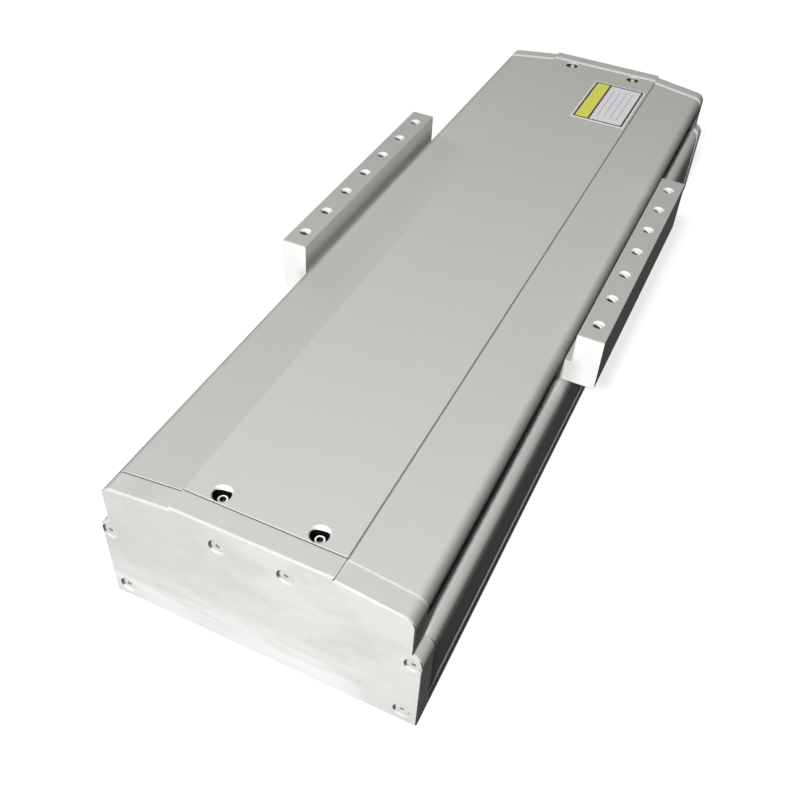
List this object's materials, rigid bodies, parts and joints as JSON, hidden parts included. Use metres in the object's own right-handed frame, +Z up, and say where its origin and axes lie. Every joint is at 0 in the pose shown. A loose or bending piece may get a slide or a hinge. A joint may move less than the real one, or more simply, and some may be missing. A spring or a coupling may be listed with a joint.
{
  "type": "ball screw linear stage",
  "caption": "Enclosed ball screw linear stage with a two-rail carriage whose side bars pass the cover through slots and carry threaded mounting holes.",
  "frame": {"origin": "on the floor under the middle of the base's length and width", "axes": "+X across the width, +Y along the travel towards the motor end, +Z up"},
  "size_m": [0.257, 0.704, 0.12],
  "materials": {
    "extruded_aluminium": "fine silver anodised extrusion",
    "cover_aluminium": "fine blasted silver anodised",
    "plate_aluminium": "milled and clear anodised",
    "arm_aluminium": "milled and clear anodised",
    "inner_aluminium": "milled",
    "rail_steel": "ground",
    "bearing_steel": "ground and polished",
    "cast_housing": "black oxide",
    "bolt_steel": "dark zinc",
    "bright_bolt_steel": "bright zinc",
    "ball_chrome": "polished",
    "cap_plastic": "moulded",
    "seal_rubber": "matte",
    "bumper_rubber": "matte",
    "spider_elastomer": "satin",
    "label_film": "printed film"
  },
  "bodies": {
    "base": {"base_extrusion": "extruded_aluminium", "top_cover": "cover_aluminium", "front_end_plate": "plate_aluminium", "rear_end_plate": "plate_aluminium", "front_cover_bracket": "inner_aluminium", "rear_cover_bracket": "inner_aluminium", "left_guide_rail": "rail_steel", "right_guide_rail": "rail_steel", "left_rail_bolts": "bolt_steel", "right_rail_bolts": "bolt_steel", "front_plate_screws": "bright_bolt_steel", "rear_plate_screws": "bright_bolt_steel", "front_cover_screws": "bright_bolt_steel", "rear_cover_screws": "bright_bolt_steel", "support_bearing_housing": "cast_housing", "support_bearing_outer_ring": "bearing_steel", "support_bearing_balls": "ball_chrome", "support_housing_bolts": "bolt_steel", "fixed_bearing_housing": "cast_housing", "fixed_bearing_outer_rings": "bearing_steel", "fixed_bearing_balls": "ball_chrome", "fixed_housing_bolts": "bolt_steel", "bearing_retainer_plate": "cast_housing", "retainer_screws": "bolt_steel", "front_bumpers": "bumper_rubber", "rear_bumpers": "bumper_rubber", "blank_label": "label_film"},
    "screw": {"ball_screw": "bearing_steel", "support_bearing_inner_ring": "bearing_steel", "support_circlip": "bolt_steel", "fixed_bearing_inner_rings": "bearing_steel", "bearing_spacer": "bearing_steel", "lock_nut": "bolt_steel", "screw_coupling_hub": "inner_aluminium", "coupling_spider": "spider_elastomer", "motor_coupling_hub": "inner_aluminium", "coupling_clamp_screws": "bolt_steel"},
    "carriage": {"saddle": "inner_aluminium", "left_side_arm": "arm_aluminium", "right_side_arm": "arm_aluminium", "left_arm_bolts": "bolt_steel", "right_arm_bolts": "bolt_steel", "front_left_guide_block": "rail_steel", "rear_left_guide_block": "rail_steel", "front_right_guide_block": "rail_steel", "rear_right_guide_block": "rail_steel", "left_block_end_caps": "cap_plastic", "right_block_end_caps": "cap_plastic", "left_block_end_seals": "seal_rubber", "right_block_end_seals": "seal_rubber", "left_block_balls": "ball_chrome", "right_block_balls": "ball_chrome", "guide_block_bolts": "bolt_steel", "ball_nut": "bearing_steel", "nut_wipers": "cap_plastic", "nut_bracket": "inner_aluminium", "nut_flange_bolts": "bolt_steel", "nut_bracket_bolts": "bolt_steel"}
  },
  "joints": [
    {"name": "carriage_slide", "type": "slide", "parent": "base", "child": "carriage", "axis": [0, 1, 0], "range_m": [-0.209, 0.091]},
    {"name": "screw_spin", "type": "hinge", "parent": "base", "child": "screw", "pos_m": [0, 0, 0.05], "axis": [0, 1, 0], "range_deg": [-3286, 7534]}
  ],
  "couplings": [
    {"joint": "screw_spin", "follows": "carriage_slide", "rad_per_m": -628.32}
  ]
}
